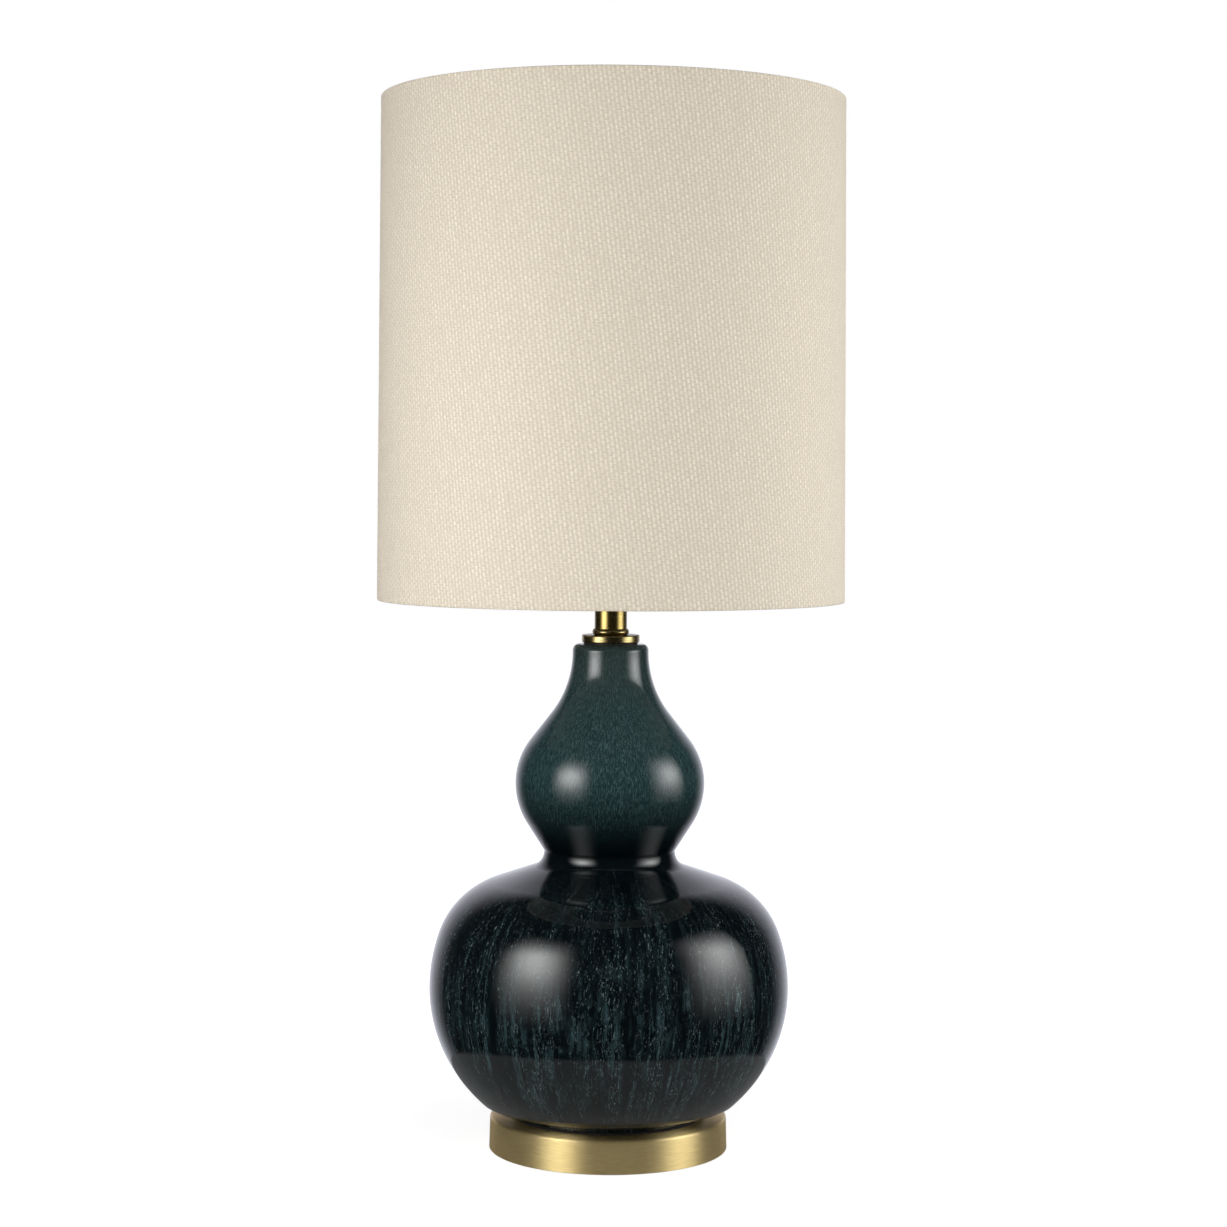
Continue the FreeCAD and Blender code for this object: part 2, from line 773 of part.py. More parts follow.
def switch_knob():
    """A moulded key with a round collar and two grip flats."""
    front = FreeCAD.Vector(0, -1, 0)
    start = FreeCAD.Vector(0, knob_y, switch_z)
    key = rod_along(front, start, knob_r, knob_length)
    grip_length = knob_length - knob_collar_length
    for side in (-1, 1):
        corner_x = knob_flat / 2 if side > 0 else -knob_flat / 2 - knob_r
        key = key.cut(Part.makeBox(
            knob_r,
            grip_length + 1,
            2 * knob_r + 2,
            FreeCAD.Vector(corner_x, knob_y - knob_length - 1, switch_z - knob_r - 1),
        ))
    return key.cut(rod_along(front, start, switch_shaft_r + running_fit, knob_length / 2))


# ---- Bulb ---------------------------------------------------------------------------------------

def bulb_contact():
    half = bulb_button_height / 2
    return turn_points([
        (0, contact_top_z),
        (bulb_button_r - half, contact_top_z),
        (bulb_button_r, contact_top_z + half),
        (bulb_button_r, bulb_ring_z),
        (0, bulb_ring_z),
    ])


def bulb_insulator():
    return turn_points([
        (0, bulb_ring_z),
        (bulb_glass_ring_low_r, bulb_ring_z),
        (bulb_glass_ring_high_r, bulb_cap_z),
        (0, bulb_cap_z),
    ])


def bulb_cap():
    wall = bulb_cap_wall
    return turn_points([
        (0, bulb_cap_z),
        (bulb_glass_ring_high_r, bulb_cap_z),
        (bulb_cap_r, bulb_cap_z + bulb_cap_taper),
        (bulb_cap_r, bulb_cap_top_z),
        (bulb_cap_r - wall, bulb_cap_top_z),
        (bulb_cap_r - wall, bulb_cap_z + bulb_cap_taper + wall),
        (bulb_glass_ring_high_r - wall, bulb_cap_z + wall),
        (0, bulb_cap_z + wall),
    ])


def bulb_outline(wall):
    """The envelope from its open neck inside the cap to its crown."""
    neck_top_z = bulb_cap_top_z + bulb_neck_straight
    neck_foot_z = bulb_cap_top_z - 2 * bulb_neck_straight
    ball = at(0, bulb_centre_z)
    bulge, hollow = bulb_r, bulb_neck_hollow_r
    while True:
        neck = at(bulb_neck_r + hollow, neck_top_z)
        if (neck - ball).Length > 1.02 * (bulge + hollow):
            break
        hollow *= 0.97
    slope = crossing_tangent(ball, bulge, neck, hollow, 1)
    neck_wall = bulb_neck_r - wall
    return [
        line(at(0, neck_foot_z), at(neck_wall, neck_foot_z)),
        line(at(neck_wall, neck_foot_z), at(neck_wall, neck_top_z)),
        arc(neck, hollow + wall, math.pi, slope + math.pi),
        line(touch(neck, -(hollow + wall), slope), touch(ball, bulge - wall, slope)),
        arc(ball, bulge - wall, slope, math.pi / 2),
        line(at(0, bulb_centre_z + bulge - wall), at(0, neck_foot_z)),
    ]


def bulb_glass():
    return turn(bulb_outline(0)).cut(turn(bulb_outline(bulb_wall)))


# ---- Shade --------------------------------------------------------------------------------------

def shade_r(z):
    """The outside radius of the fabric at a height."""
    share = (z - shade_bottom_z) / shade_height
    return shade_bottom_r - shade_taper * share


def wire_centre(end):
    """Where the wire ring of one rim (end -1 lower, 1 upper) runs: its radius and height."""
    rim_z = shade_bottom_z if end < 0 else shade_top_z
    z = rim_z - end * (fabric_thickness + hem_room + shade_wire_r)
    r = shade_r(z) - fabric_thickness - liner_thickness - hem_room - shade_wire_r
    return r, z


def hem_outline(end):
    """The fabric's edges round one rim: out over the wire ring and down onto the liner's inside."""
    wire_r, wire_z = wire_centre(end)
    rim_z = wire_z + end * hem_wrap_r
    hug = shade_wire_r + hem_room
    side_r = shade_r(rim_z)
    round_r = fabric_thickness
    corner = at(side_r - round_r, rim_z - end * round_r)
    tail_z = wire_z - end * hem_height
    past_z = wire_z - end * shade_wire_r
    slant_z = wire_z - end * hem_height / 2
    liner_face = shade_r(wire_z) - fabric_thickness - liner_thickness
    tail_r = liner_face + (shade_r(tail_z) - shade_r(wire_z))
    slant_r = liner_face + (shade_r(slant_z) - shade_r(wire_z))
    middle = at(wire_r, wire_z)
    up = end * math.pi / 2
    half_turn = end * math.pi
    liner_end = at(shade_r(rim_z - end * fabric_thickness) - fabric_thickness, rim_z - end * fabric_thickness)
    return [
        arc(corner, round_r, 0, up),
        line(at(corner.x, rim_z), at(wire_r, rim_z)),
        arc(middle, hem_wrap_r, up, half_turn),
        line(at(wire_r - hem_wrap_r, wire_z), at(wire_r - hem_wrap_r, past_z)),
        line(at(wire_r - hem_wrap_r, past_z), at(slant_r - fabric_thickness, slant_z)),
        line(at(slant_r - fabric_thickness, slant_z), at(tail_r - fabric_thickness, tail_z)),
        line(at(tail_r - fabric_thickness, tail_z), at(tail_r, tail_z)),
        line(at(tail_r, tail_z), at(slant_r, slant_z)),
        line(at(slant_r, slant_z), at(wire_r - hug, past_z)),
        line(at(wire_r - hug, past_z), at(wire_r - hug, wire_z)),
        arc(middle, hug, half_turn, up),
        line(at(wire_r, wire_z + end * hug), liner_end),
    ]


def arm_path():
    """One spider arm, along +X: level from the hub, then up to the ring."""
    ring_centre_r, ring_z_top = wire_centre(1)
    bend_x = ring_centre_r - spider_bend_in
    start = at(arm_inner_r, arm_z)
    bend = at(bend_x, arm_z)
    end = at(ring_centre_r - 2 * shade_wire_r + arm_weld, ring_z_top)
    slope = math.atan2(end.z - bend.z, end.x - bend.x)
    setback = spider_bend_r * math.tan(slope / 2)
    before = at(bend_x - setback, arm_z)
    after = at(bend_x + setback * math.cos(slope), arm_z + setback * math.sin(slope))
    centre = at(before.x, arm_z + spider_bend_r)
    return [
        line(start, before),
        arc(centre, spider_bend_r, -math.pi / 2, slope - math.pi / 2),
        line(after, end),
    ]


def arms(wire_r):
    wires = []
    for number in range(spider_arms):
        wire = swept(arm_path(), wire_r)
        wire.rotate(ORIGIN, AXIS, 90 + number * 360 / spider_arms)
        wires.append(wire)
    return wires


def shade_fabric():
    """The cloth drum, turned in over both wire rings, and notched where the arms come through."""
    upper = hem_outline(1)
    lower = hem_outline(-1)
    up_out = upper[0].valueAt(upper[0].FirstParameter)
    low_out = lower[0].valueAt(lower[0].FirstParameter)
    up_in = upper[-1].valueAt(upper[-1].LastParameter)
    low_in = lower[-1].valueAt(lower[-1].LastParameter)
    edges = upper + lower + [line(low_out, up_out), line(up_in, low_in)]
    cloth = turn(Part.sortEdges(edges)[0])
    for notch in arms(shade_wire_r + arm_slot):
        cloth = cloth.cut(notch)
    return cloth


def shade_liner():
    low = shade_bottom_z + fabric_thickness
    high = shade_top_z - fabric_thickness
    low_r = shade_r(low) - fabric_thickness
    high_r = shade_r(high) - fabric_thickness
    return turn_points([
        (low_r, low),
        (high_r, high),
        (high_r - liner_thickness, high),
        (low_r - liner_thickness, low),
    ])


def shade_ring(end):
    r, z = wire_centre(end)
    return Part.makeTorus(r, shade_wire_r, FreeCAD.Vector(0, 0, z))


def shade_spider():
    """The hub and its arms, which end where they are welded to the upper ring."""
    hub = disc(hub_r, hub_z, hub_top_z)
    spider = hub.fuse(arms(shade_wire_r))
    spider = spider.cut(disc(hub_bore_r, hub_z - 1, hub_top_z + 1))
    return spider.cut(shade_ring(1)).removeSplitter()


# ---- Finial -------------------------------------------------------------------------------------

def finial_base():
    neck_z_low = finial_z + finial_base_height / 2
    outline = turn_points([
        (0, finial_z),
        (finial_base_r, finial_z),
        (finial_base_r, neck_z_low),
        (finial_waist_r, finial_knob_z),
        (0, finial_knob_z),
    ])
    return outline.cut(disc(finial_bore_r, finial_z - 1, finial_knob_z + 1))


def finial_knob():
    """A turned ball on a narrower foot, bored for the stud."""
    middle = at(0, finial_knob_z + finial_knob_rise)
    foot = at(finial_waist_r, finial_knob_z)
    side = middle + at(finial_knob_r, 0)
    belly = at((finial_waist_r + 4 * finial_knob_r) / 5, finial_knob_z + finial_knob_rise / 2)
    edges = [
        line(at(0, finial_knob_z), foot),
        Part.Arc(foot, belly, side).toShape(),
        arc(middle, finial_knob_r, 0, math.pi / 2),
        line(middle + at(0, finial_knob_r), at(0, finial_knob_z)),
    ]
    bore_top = stud_top_z + finial_bore_spare
    return turn(edges).cut(disc(finial_bore_r, finial_knob_z - 1, bore_top))


# ---- Export -------------------------------------------------------------------------------------

nodes = {
    "base_plinth": base_plinth(),
    "bottom_board": bottom_board(),
    "base_felt": base_felt(),
    "base_washer": base_washer(),
    "base_lock_washer": base_lock_washer(),
    "base_nut": base_nut(),
    "cord_bushing": cord_bushing(),
    "foot_gasket": foot_gasket(),
    "gourd_body": gourd_body(),
    "cap_gasket": cap_gasket(),
    "vase_cap": vase_cap(),
    "check_ring": check_ring(),
    "neck_tube": neck_tube(),
    "neck_washer": neck_washer(),
    "threaded_rod": threaded_rod(),
    "harp_saddle": harp_saddle(),
    "saddle_nut": saddle_nut(),
    "harp_bow": harp_bow(),
    "harp_sleeve_left": harp_sleeve(-1),
    "harp_sleeve_right": harp_sleeve(1),
    "harp_stud": harp_stud(),
    "socket_cap": socket_cap(),
    "socket_set_screw": socket_set_screw(),
    "socket_shell": socket_shell(),
    "socket_liner": socket_liner(),
    "socket_core": socket_core(),
    "terminal_screws": terminal_screws(),
    "screw_shell": screw_shell(),
    "centre_contact": centre_contact(),
    "switch_shaft": switch_shaft(),
    "switch_knob": switch_knob(),
    "bulb_contact": bulb_contact(),
    "bulb_insulator": bulb_insulator(),
    "bulb_cap": bulb_cap(),
    "bulb_glass": bulb_glass(),
    "shade_fabric": shade_fabric(),
    "shade_liner": shade_liner(),
    "shade_top_ring": shade_ring(1),
    "shade_bottom_ring": shade_ring(-1),
    "shade_spider": shade_spider(),
    "finial_base": finial_base(),
    "finial_knob": finial_knob(),
}

os.makedirs("parts", exist_ok=True)
for name, shape in nodes.items():
    shape.exportStep(f"parts/{name}.step")
    print(f"{name}: {len(shape.Solids)} solid, {shape.Volume / 1000:.1f} cm3, valid {shape.isValid()}")
print(f"shade rims {shade_bottom_z:.2f} to {shade_top_z:.2f}, body top {body_top_z:.2f}")
print(f"saddle {saddle_z:.2f}, socket {socket_z:.2f}, switch {switch_z:.2f}, bulb top {bulb_centre_z + bulb_r:.2f}")
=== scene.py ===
import json
import math

import bpy
import numpy as np
from mathutils import Matrix, Vector

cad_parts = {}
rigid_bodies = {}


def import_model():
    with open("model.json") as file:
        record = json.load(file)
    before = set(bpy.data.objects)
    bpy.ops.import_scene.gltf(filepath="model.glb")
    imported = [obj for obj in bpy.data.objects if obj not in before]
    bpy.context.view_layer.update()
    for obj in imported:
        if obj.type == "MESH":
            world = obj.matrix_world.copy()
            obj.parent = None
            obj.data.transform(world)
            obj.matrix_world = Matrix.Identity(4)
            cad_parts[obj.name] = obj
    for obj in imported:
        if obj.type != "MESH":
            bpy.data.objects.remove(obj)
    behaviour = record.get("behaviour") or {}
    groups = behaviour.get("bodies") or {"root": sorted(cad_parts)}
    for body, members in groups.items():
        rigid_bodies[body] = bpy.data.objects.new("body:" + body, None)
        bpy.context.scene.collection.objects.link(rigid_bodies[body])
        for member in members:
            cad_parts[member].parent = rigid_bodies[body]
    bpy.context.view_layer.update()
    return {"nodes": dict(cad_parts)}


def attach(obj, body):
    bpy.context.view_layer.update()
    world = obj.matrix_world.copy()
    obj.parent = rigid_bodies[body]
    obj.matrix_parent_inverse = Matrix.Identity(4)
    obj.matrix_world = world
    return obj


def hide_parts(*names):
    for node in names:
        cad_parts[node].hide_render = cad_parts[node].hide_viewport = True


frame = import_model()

# ---- Camera and studio --------------------------------------------------------------------------
# The lamp stands on a small white table in a dark room, in front of a white backdrop. Two tall soft
# boxes stand in front of it, one each side, each with a hot spot and fading all round. Four weak
# lights fill in the shadows.

scene = bpy.context.scene
for leftover in [o for o in bpy.data.objects if o.name in ("Cube", "Light", "Camera")]:
    bpy.data.objects.remove(leftover)
scene.view_settings.view_transform = "Standard"


def node(tree, kind, *inputs, output=0, **settings):
    """A new shader node's output. Inputs are numbers, colours or other nodes' outputs, in order."""
    made = tree.nodes.new("ShaderNode" + kind)
    for setting, value in settings.items():
        setattr(made, setting, value)
    for place, value in enumerate(inputs):
        if isinstance(value, bpy.types.NodeSocket):
            tree.links.new(value, made.inputs[place])
        elif value is not None:
            made.inputs[place].default_value = value
    return made.outputs[output]


def maths(tree, operation, first, second=0.0):
    return node(tree, "Math", first, second, operation=operation)


def product(tree, first, *others):
    """Two or more values multiplied together."""
    for other in others:
        first = maths(tree, "MULTIPLY", first, other)
    return first


def fade(tree, value, start, end, low=0.0, high=1.0):
    """A smooth change from low to high as the value goes from start to end."""
    return node(tree, "MapRange", value, start, end, low, high, interpolation_type="SMOOTHSTEP")


def blend(tree, share, first, second):
    """Two colours mixed by a share, from 0 for the first to 1 for the second."""
    made = tree.nodes.new("ShaderNodeMix")
    made.data_type = "RGBA"
    for place, value in ((0, share), (6, first), (7, second)):
        if isinstance(value, bpy.types.NodeSocket):
            tree.links.new(value, made.inputs[place])
        else:
            made.inputs[place].default_value = value if place == 0 else (*value, 1)
    return made.outputs[2]


camera_distance, camera_height = 1.7789, 0.4375
camera_pan, camera_tilt, camera_roll = -0.0557, 2.758, 0.33  # degrees, the tilt downwards
lens = bpy.data.cameras.new("camera")
lens.lens = 79.93
lens.sensor_width = 36
camera = bpy.data.objects.new("camera", lens)
scene.collection.objects.link(camera)
camera.matrix_world = (
    Matrix.Translation((0, -camera_distance, camera_height))
    @ Matrix.Rotation(math.radians(camera_pan), 4, "Z")
    @ Matrix.Rotation(math.radians(90 - camera_tilt), 4, "X")
    @ Matrix.Rotation(math.radians(camera_roll), 4, "Z")
)
scene.camera = camera

scene.world = bpy.data.worlds.new("studio")
scene.world.use_nodes = True
room = scene.world.node_tree
toward = node(room, "SeparateXYZ", node(room, "TexCoord"), output=1)
room_glow, backdrop_glow = 0.02, 1.0
backdrop = fade(room, toward, 0.58, 1.0, room_glow, backdrop_glow)
to_camera = node(room, "LightPath")
seen = maths(room, "MAXIMUM", backdrop, to_camera)
bluish = blend(room, to_camera, (0.89, 0.90, 1.0), (1, 1, 1))
room.links.new(blend(room, seen, (0, 0, 0), bluish), room.nodes["Background"].inputs["Color"])


def aimed(stand, target):
    """Where a light stands, and turned so that it shines at its target."""
    aim = target - stand
    return Matrix.Translation(stand) @ aim.to_track_quat("-Z", "Y").to_matrix().to_4x4()


hot_r = 0.20
even_from, even_to = 0.05, 0.62  # upwards and downwards from the middle
narrow_from, narrow_share = 0.12, 0.46  # sideways from the hot spot, the end as a share of the width
# Each box: its bearing from the front, its distance and height, its width and height, how far its
# hottest spot lies to the right of its middle, and its strength there and away from there.
for bearing, distance, height, wide, tall, hot_right, peak, even in (
    (-48, 0.77, 0.44, 0.90, 1.30, 0.0, 6.6, 1.7),
    (66, 0.84, 0.46, 1.10, 1.30, 0.16, 4.3, 2.3),
):
    box = bpy.data.lights.new("soft_box", "AREA")
    box.shape = "RECTANGLE"
    box.size = wide
    box.size_y = tall
    box.energy = math.pi * wide * tall
    box.use_nodes = True
    glow = box.node_tree
    place = node(glow, "NewGeometry", output=5)
    middle = (0.5 + hot_right / wide, 0.5, 0)
    off_middle = node(glow, "VectorMath", place, middle, operation="SUBTRACT")
    in_metres = node(glow, "VectorMath", off_middle, (wide, tall, 0), operation="MULTIPLY")
    across = node(glow, "VectorMath", in_metres, operation="LENGTH", output=1)
    spread = maths(glow, "POWER", maths(glow, "DIVIDE", across, hot_r), 2.0)
    hot = product(glow, maths(glow, "EXPONENT", product(glow, spread, -1.0)), peak)
    upright = node(glow, "SeparateXYZ", in_metres, output=1)
    sideways = node(glow, "SeparateXYZ", in_metres, output=0)
    fading = fade(glow, maths(glow, "ABSOLUTE", upright), even_from, even_to, even, 0.0)
    narrowing = fade(glow, maths(glow, "ABSOLUTE", sideways), narrow_from, wide * narrow_share)
    around = product(glow, fading, maths(glow, "SUBTRACT", 1.0, narrowing))
    strength = maths(glow, "ADD", hot, around)
    glow.links.new(strength, glow.nodes["Emission"].inputs["Strength"])
    lamp = bpy.data.objects.new("soft_box", box)
    scene.collection.objects.link(lamp)
    turn = math.radians(bearing)
    stand = Vector((math.sin(turn) * distance, -math.cos(turn) * distance, height))
    lamp.matrix_world = aimed(stand, Vector((0, 0, height - 0.02)))


# Each fill light: its place to the right and to the rear, and its power. The glaze and the brass
# don't mirror these.
for x, y, energy in ((0.1, -2.2, 14), (1.3, -1.85, 14), (-2.0, 0.95, 9), (2.0, 0.95, 7)):
    fill = bpy.data.lights.new("fill", "AREA")
    fill.shape = "SQUARE"
    fill.size = 1.5
    fill.energy = energy
    lamp = bpy.data.objects.new("fill", fill)
    scene.collection.objects.link(lamp)
    lamp.visible_glossy = False
    lamp.matrix_world = aimed(Vector((x, y, 0.95)), Vector((0, 0, 0.35)))


def finish(name):
    """A new material: itself, its node tree, and the shader that its looks go into."""
    material = bpy.data.materials.new(name)
    material.use_nodes = True
    return material, material.node_tree, material.node_tree.nodes["Principled BSDF"]


def noise(tree, vector, scale, detail=2.0, roughness=0.5, fourth=None):
    """Fractal noise from 0 to 1 at a place, with a fourth coordinate where one is given."""
    made = tree.nodes.new("ShaderNodeTexNoise")
    tree.links.new(vector, made.inputs["Vector"])
    made.inputs["Scale"].default_value = scale
    made.inputs["Detail"].default_value = detail
    made.inputs["Roughness"].default_value = roughness
    if fourth is not None:
        made.noise_dimensions = "4D"
        tree.links.new(fourth, made.inputs["W"])
    return made.outputs[0]


# The floor is plain. The glaze and the brass mirror it only as far as the small table's edge.
table_from, table_to = 0.195, 0.21
bpy.ops.object.select_all(action="DESELECT")
bpy.ops.mesh.primitive_plane_add(size=8)
floor = bpy.context.object
floor.name = "floor"
table_white, tree, shader = finish("white_table")
spot = node(tree, "TexCoord", output=3)
away = node(tree, "VectorMath", spot, operation="LENGTH", output=1)
grain = noise(tree, spot, 300.0)
path = node(tree, "LightPath").node
shader.inputs["Roughness"].default_value = 0.9
shader.inputs["Specular IOR Level"].default_value = 0.0
shader.inputs["Emission Color"].default_value = (1, 1, 1, 1)
tint = blend(tree, grain, (0.38, 0.38, 0.38), (0.42, 0.42, 0.42))
tree.links.new(tint, shader.inputs["Base Color"])
lift = product(tree, path.outputs["Is Camera Ray"], fade(tree, away, 0.1, 0.5, 0.80, 1.0))
tree.links.new(lift, shader.inputs["Emission Strength"])
beyond = product(tree, path.outputs["Is Glossy Ray"], fade(tree, away, table_from, table_to))
unseen = node(tree, "BsdfTransparent")
table_top = node(tree, "MixShader", beyond, shader.outputs[0], unseen)
tree.links.new(table_top, tree.nodes["Material Output"].inputs["Surface"])
floor.data.materials.append(table_white)

# ---- Plinth -------------------------------------------------------------------------------------
# A shallow cup drawn from brass sheet, turned and brushed round its side, and lacquered. The rod's
# lower end pulls it up against the body with a plate washer, a lock washer and a nut inside.


def round_the_axis(tree, per_turn, per_metre):
    """Where a point is on a piece that was turned on the lamp's axis: a vector that changes slowly
    on the way round and fast upwards, and the distance from the axis on the fast scale."""
    spot = node(tree, "TexCoord", output=3)
    level = node(tree, "SeparateXYZ", spot, output=2)
    flat = node(tree, "VectorMath", spot, (1, 1, 0), operation="MULTIPLY")
    facing = node(tree, "VectorMath", flat, operation="NORMALIZE")
    slow = node(tree, "VectorMath", facing, (per_turn, per_turn, 0), operation="MULTIPLY")
    up = node(tree, "CombineXYZ", 0.0, 0.0, product(tree, level, per_metre))
    off_axis = node(tree, "VectorMath", flat, operation="LENGTH", output=1)
    vector = node(tree, "VectorMath", slow, up, operation="ADD")
    return vector, product(tree, off_axis, per_metre)


def bump(tree, shader, height, strength, distance):
    made = tree.nodes.new("ShaderNodeBump")
    made.inputs["Strength"].default_value = strength
    made.inputs["Distance"].default_value = distance
    tree.links.new(height, made.inputs["Height"])
    tree.links.new(made.outputs[0], shader.inputs["Normal"])


def paint(tree, shader, tint, roughness):
    """Puts a colour and a roughness, both from nodes, into a material's shader."""
    tree.links.new(tint, shader.inputs["Base Color"])
    tree.links.new(roughness, shader.inputs["Roughness"])


def turned_metal(name, bright, dull, smooth, rough, line_depth, lacquer=0.0):
    """Metal with fine lines round the lamp's axis, clouded a little by handling. Lacquer, where it
    has any, lies over it as a clear coat."""
    material, tree, shader = finish(name)
    vector, outward = round_the_axis(tree, 5.0, 900.0)
    lines = noise(tree, vector, 1.0, 5.0, 0.7, outward)
    clouds = noise(tree, node(tree, "TexCoord", output=3), 45.0, 4.0, 0.6)
    share = fade(tree, maths(tree, "ADD", lines, clouds), 0.75, 1.25)
    tint = blend(tree, share, dull, bright)
    paint(tree, shader, tint, fade(tree, share, 1.0, 0.0, smooth, rough))
    shader.inputs["Metallic"].default_value = 1.0
    shader.inputs["Coat Weight"].default_value = lacquer
    shader.inputs["Coat Roughness"].default_value = 0.12
    bump(tree, shader, lines, 0.35, line_depth)
    return material


def dress(material, *names):
    for name in names:
        for slot in frame["nodes"][name].material_slots:
            slot.material = material


mm = 0.001


def millimetres(*points):
    """Points that are given in millimetres, in metres."""
    return [(x * mm, z * mm) for x, z in points]


def arc(centre, radius, start, end, steps):
    """Points on an arc, without its first point, as (distance from the axis, height)."""
    turns = [start + (end - start) * step / steps for step in range(1, steps + 1)]
    across, up = centre
    return [(across + radius * math.cos(turn), up + radius * math.sin(turn)) for turn in turns]


def turned(name, outline, steps):
    """A piece spun round an upright axis from a closed outline: one corner of it is extruded from
    point to point, and the whole line is then spun."""
    bpy.ops.object.select_all(action="DESELECT")
    bpy.ops.mesh.primitive_plane_add(size=mm)
    piece = bpy.context.object
    piece.name = piece.data.name = name
    bpy.ops.object.mode_set(mode="EDIT")
    bpy.ops.mesh.merge(type="CENTER")
    bpy.ops.transform.translate(value=(outline[0][0], 0, outline[0][1]))
    for before, after in zip(outline, outline[1:]):
        step = (after[0] - before[0], 0, after[1] - before[1])
        bpy.ops.mesh.extrude_region_move(TRANSFORM_OT_translate={"value": step})
    bpy.ops.mesh.select_all(action="SELECT")
    bpy.ops.mesh.remove_doubles(threshold=1e-6)
    bpy.ops.mesh.spin(steps=steps, angle=math.tau, center=(0, 0, 0), axis=(0, 0, 1))
    bpy.ops.mesh.select_all(action="SELECT")
    bpy.ops.mesh.remove_doubles(threshold=1e-6)
    bpy.ops.mesh.normals_make_consistent(inside=False)
    bpy.ops.object.mode_set(mode="OBJECT")
    bpy.ops.object.shade_smooth_by_angle(angle=math.radians(40))
    return piece


def unroll(piece, outline, round_r):
    """A UV map in metres: the way round from the back, and the way along the outline."""
    line = np.array(outline)
    along = np.concatenate([[0], np.cumsum(np.hypot(*np.diff(line, axis=0).T))])
    spots = np.array([vertex.co for vertex in piece.data.vertices])
    off_axis = np.hypot(spots[:, 0], spots[:, 1])
    apart = (off_axis[:, None] - line[:, 0]) ** 2 + (spots[:, 2:] - line[:, 1]) ** 2
    nearest = np.argmin(apart, axis=1)
    turn = (np.arctan2(spots[:, 1], spots[:, 0]) - math.pi / 2) % math.tau
    turn[turn > math.tau - 1e-4] = 0
    layer = piece.data.uv_layers.new(name="unrolled")
    for face in piece.data.polygons:
        corners = [(loop, piece.data.loops[loop].vertex_index) for loop in face.loop_indices]
        turns = [turn[vertex] for _, vertex in corners]
        crosses = max(turns) - min(turns) > math.pi
        for (loop, vertex), angle in zip(corners, turns):
            if crosses and angle < math.pi:
                angle += math.tau
            layer.data[loop].uv = (angle * round_r, along[nearest[vertex]])


plinth_r = 0.0782
wall_middle, inlet_r, inlet_level = 0.077, 0.0051, 0.011
underside = millimetres((76.2, 0.6), (78.0, 0.6), (78.2, 0.8))
top_edge = arc((0.07583, 0.0202), 0.0018, 0, math.pi / 2, 8)
top = millimetres((5.05, 22), (5.05, 19.5))
within = millimetres((75.2, 19.5), (75.2, 4.4), (76.0, 4.4), (76.0, 0.8), (76.2, 0.6))
plinth_line = underside + millimetres((77.63, 20.2)) + top_edge + top + within
plinth = turned("brushed_plinth", plinth_line, 192)
unroll(plinth, plinth_line, plinth_r)
bpy.ops.object.select_all(action="DESELECT")
bpy.ops.mesh.primitive_cylinder_add(
    vertices=48,
    radius=inlet_r,
    depth=0.012,
    location=(0, wall_middle, inlet_level),
    rotation=(math.pi / 2, 0, 0),
)
drill = bpy.context.object
bpy.context.view_layer.objects.active = plinth
bpy.ops.object.modifier_add(type="BOOLEAN")
plinth.modifiers[-1].object = drill
bpy.ops.object.modifier_apply(modifier=plinth.modifiers[-1].name)
bpy.data.objects.remove(drill)

brushed, tree, shader = finish("brushed_brass")
vector, outward = round_the_axis(tree, 9.0, 1500.0)
lines = noise(tree, vector, 1.0, 4.0, 0.7, outward)
clouds = noise(tree, node(tree, "TexCoord", output=3), 30.0, 3.0, 0.5)
share = maths(tree, "ADD", product(tree, lines, 0.6), product(tree, clouds, 0.4))
tint = blend(tree, fade(tree, share, 0.35, 0.65), (0.78, 0.60, 0.26), (0.94, 0.75, 0.35))
paint(tree, shader, tint, fade(tree, share, 0.3, 0.7, 0.48, 0.42))
shader.inputs["Metallic"].default_value = 0.90
shader.inputs["Specular Tint"].default_value = (0.50, 0.38, 0.22, 1)
shader.inputs["Coat Weight"].default_value = 0.8
shader.inputs["Coat Roughness"].default_value = 0.28
shader.inputs["Anisotropic"].default_value = 0.95
shader.inputs["Anisotropic Rotation"].default_value = 0.25
grain_way = node(tree, "Tangent", direction_type="UV_MAP", uv_map="unrolled")
tree.links.new(grain_way, shader.inputs["Tangent"])
bump(tree, shader, lines, 0.12, 0.00002)
plinth.data.materials.append(brushed)
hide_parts("base_plinth")
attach(plinth, "lamp_body")
zinc = turned_metal("zinc_plate", (0.62, 0.64, 0.66), (0.45, 0.46, 0.48), 0.3, 0.5, 0.00004)
dress(zinc, "base_washer", "base_lock_washer", "base_nut")

# ---- Felt and bottom board ----------------------------------------------------------------------
# Black wool felt is glued to a disc of hardboard, which is pressed into the plinth's rim. The felt
# stands a little below the rim, so that brass never touches the table.

felt, tree, shader = finish("wool_felt")
spot = node(tree, "TexCoord", output=3)
fibres = noise(tree, spot, 2600.0, 6.0, 0.75)
lint = fade(tree, noise(tree, spot, 900.0, 3.0, 0.6), 0.56, 0.74)
wool = blend(tree, fibres, (0.008, 0.008, 0.009), (0.035, 0.035, 0.037))
tint = blend(tree, lint, wool, (0.06, 0.06, 0.06))
paint(tree, shader, tint, fade(tree, fibres, 0.3, 0.7, 0.85, 1.0))
shader.inputs["Sheen Weight"].default_value = 0.35
bump(tree, shader, fibres, 0.8, 0.0006)
dress(felt, "base_felt")

